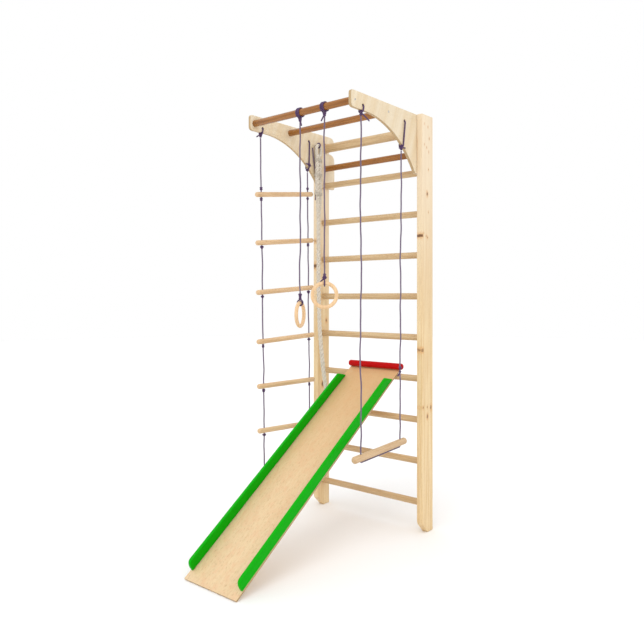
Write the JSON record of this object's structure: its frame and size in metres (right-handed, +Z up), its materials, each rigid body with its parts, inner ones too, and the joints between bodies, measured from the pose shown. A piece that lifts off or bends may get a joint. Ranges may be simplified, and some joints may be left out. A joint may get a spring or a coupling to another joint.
{
  "type": "climbing wall with slide",
  "caption": "Children's wall bars with a pull-up frame, rope ladder, gym rings, trapeze, climbing rope and a hook-on slide with side rails.",
  "frame": {"origin": "on the wall plane at floor level, midway between the two uprights", "axes": "+X along the wall to the viewer's right, -Y out of the wall into the room, +Z up"},
  "size_m": [0.8603, 1.4003, 2.4],
  "materials": {
    "pine": "clear lacquered pine with small knots",
    "rung_wood": "clear lacquered round beech",
    "toy_wood": "smooth turned beech",
    "brown_wood": "brown stained wood, satin",
    "plywood": "birch plywood, clear lacquer",
    "slide_plywood": "birch plywood, smooth clear lacquer",
    "green_paint": "bright green gloss paint on wood",
    "red_paint": "bright red gloss paint on wood",
    "purple_rope": "braided purple cord",
    "white_rope": "laid off-white rope",
    "zinc": "zinc plated steel"
  },
  "bodies": {
    "wall_bars": {"upright_left": "pine", "upright_right": "pine", "top_rail": "rung_wood", "rung_02": "rung_wood", "rung_03": "rung_wood", "rung_04": "rung_wood", "rung_05": "rung_wood", "rung_06": "rung_wood", "rung_07": "rung_wood", "rung_08": "rung_wood", "rung_09": "rung_wood", "rung_10": "rung_wood", "pullup_plate_left": "plywood", "pullup_plate_right": "plywood", "pullup_bar_front": "brown_wood", "pullup_bar_middle": "brown_wood", "pullup_bar_rear": "brown_wood", "bar_screw_front_left": "zinc", "bar_screw_front_right": "zinc", "bar_screw_middle_left": "zinc", "bar_screw_middle_right": "zinc", "bar_screw_rear_left": "zinc", "bar_screw_rear_right": "zinc", "wall_angle_lower_left": "zinc", "wall_angle_lower_right": "zinc", "wall_angle_upper_left": "zinc", "wall_angle_upper_right": "zinc", "angle_screw_lower_left": "zinc", "angle_screw_lower_right": "zinc", "angle_screw_upper_left": "zinc", "angle_screw_upper_right": "zinc", "ladder_tie_front": "purple_rope", "ladder_tie_rear": "purple_rope", "trapeze_tie_front": "purple_rope", "trapeze_tie_rear": "purple_rope", "climbing_rope_tie": "purple_rope"},
    "slide": {"slide_board": "slide_plywood", "slide_rail_left": "green_paint", "slide_rail_right": "green_paint", "slide_grip": "red_paint", "slide_hook_left": "plywood", "slide_hook_right": "plywood"},
    "rope_ladder": {"ladder_rope_front": "purple_rope", "ladder_rope_rear": "purple_rope", "ladder_rung_1": "toy_wood", "ladder_rung_2": "toy_wood", "ladder_rung_3": "toy_wood", "ladder_rung_4": "toy_wood", "ladder_rung_5": "toy_wood", "ladder_rung_6": "toy_wood", "ladder_rung_7": "toy_wood"},
    "trapeze": {"trapeze_rope": "purple_rope", "trapeze_bar": "toy_wood"},
    "ring_drop_left": {"ring_rope_left": "purple_rope"},
    "ring_left": {"gym_ring_left": "toy_wood"},
    "ring_drop_right": {"ring_rope_right": "purple_rope"},
    "ring_right": {"gym_ring_right": "toy_wood"},
    "climb_rope": {"climbing_rope": "white_rope"}
  },
  "joints": [
    {"name": "slide_lift", "type": "hinge", "parent": "wall_bars", "child": "slide", "pos_m": [0, -0.097, 0.8796], "axis": [-1, 0, 0], "range_deg": [0, 33]},
    {"name": "rope_ladder_swing", "type": "hinge", "parent": "wall_bars", "child": "rope_ladder", "pos_m": [-0.3627, -0.682, 2.28195], "axis": [0, 0.9467, -0.3221], "range_deg": [0, 40]},
    {"name": "trapeze_swing", "type": "hinge", "parent": "wall_bars", "child": "trapeze", "pos_m": [0.3627, -0.677, 2.28195], "axis": [0, -0.9571, 0.2897], "range_deg": [-3.5, 40]},
    {"name": "ring_left_swing", "type": "hinge", "parent": "wall_bars", "child": "ring_drop_left", "pos_m": [-0.002, -0.737, 2.353], "axis": [-1, 0, 0], "range_deg": [-25, 55]},
    {"name": "ring_left_tilt", "type": "hinge", "parent": "ring_drop_left", "child": "ring_left", "pos_m": [-0.002, -0.737, 1.324], "axis": [-0.3907, 0.9205, 0], "range_deg": [-25, 25]},
    {"name": "ring_right_swing", "type": "hinge", "parent": "wall_bars", "child": "ring_drop_right", "pos_m": [0.17, -0.737, 2.353], "axis": [-1, 0, 0], "range_deg": [-25, 55]},
    {"name": "ring_right_tilt", "type": "hinge", "parent": "ring_drop_right", "child": "ring_right", "pos_m": [0.17, -0.737, 1.428], "axis": [0.766, 0.6428, 0], "range_deg": [-25, 25]},
    {"name": "climbing_rope_swing", "type": "hinge", "parent": "wall_bars", "child": "climb_rope", "pos_m": [-0.329, -0.199, 2.298], "axis": [-1, 0, 0], "range_deg": [-2, 45]}
  ]
}
